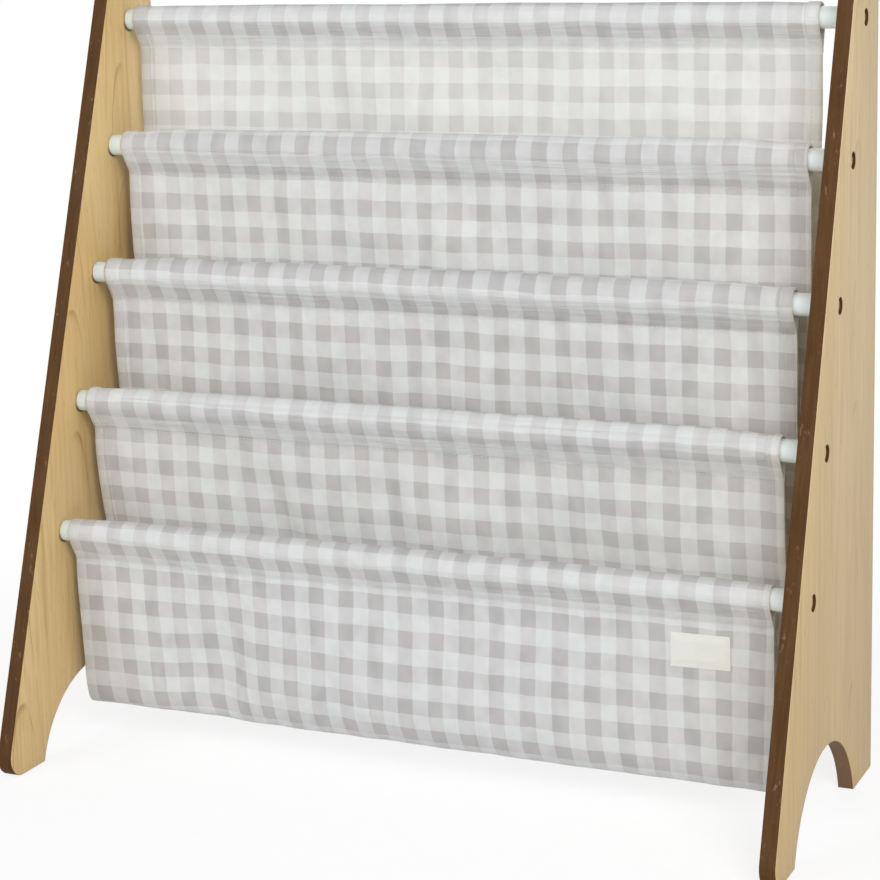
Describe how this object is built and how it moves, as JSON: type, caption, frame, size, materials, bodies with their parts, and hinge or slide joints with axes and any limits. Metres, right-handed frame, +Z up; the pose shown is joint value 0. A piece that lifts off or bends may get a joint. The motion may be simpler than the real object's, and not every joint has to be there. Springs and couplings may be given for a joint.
{
  "type": "sling bookshelf",
  "caption": "Low children's bookshelf: two arched plywood side panels, white rods between them, and a gingham cloth sling that forms tiered book pockets.",
  "frame": {"origin": "on the floor, in the middle of the overall width and depth", "axes": "+X to the right as seen from the front, front faces -Y, +Z up"},
  "size_m": [0.625, 0.263, 0.61],
  "materials": {
    "panel_wood": "clear satin plywood faces with dark brown cut edges",
    "white_rod": "white satin paint",
    "insert_metal": "zinc plated",
    "bolt_metal": "yellow zinc plated, satin",
    "gingham_cloth": "woven cotton gingham in warm grey and white",
    "label_cloth": "plain cream cotton tape"
  },
  "bodies": {
    "root": {"side_panel_left": "panel_wood", "side_panel_right": "panel_wood", "rod_1": "white_rod", "rod_2": "white_rod", "rod_3": "white_rod", "rod_4": "white_rod", "rod_5": "white_rod", "threaded_insert_left_1": "insert_metal", "threaded_insert_right_1": "insert_metal", "threaded_insert_left_2": "insert_metal", "threaded_insert_right_2": "insert_metal", "threaded_insert_left_3": "insert_metal", "threaded_insert_right_3": "insert_metal", "threaded_insert_left_4": "insert_metal", "threaded_insert_right_4": "insert_metal", "threaded_insert_left_5": "insert_metal", "threaded_insert_right_5": "insert_metal", "bolt_left_1": "bolt_metal", "bolt_right_1": "bolt_metal", "bolt_left_2": "bolt_metal", "bolt_right_2": "bolt_metal", "bolt_left_3": "bolt_metal", "bolt_right_3": "bolt_metal", "bolt_left_4": "bolt_metal", "bolt_right_4": "bolt_metal", "bolt_left_5": "bolt_metal", "bolt_right_5": "bolt_metal", "pocket_sling_1": "gingham_cloth", "pocket_sling_2": "gingham_cloth", "pocket_sling_3": "gingham_cloth", "pocket_sling_4": "gingham_cloth", "sewn_label": "label_cloth"}
  },
  "joints": []
}
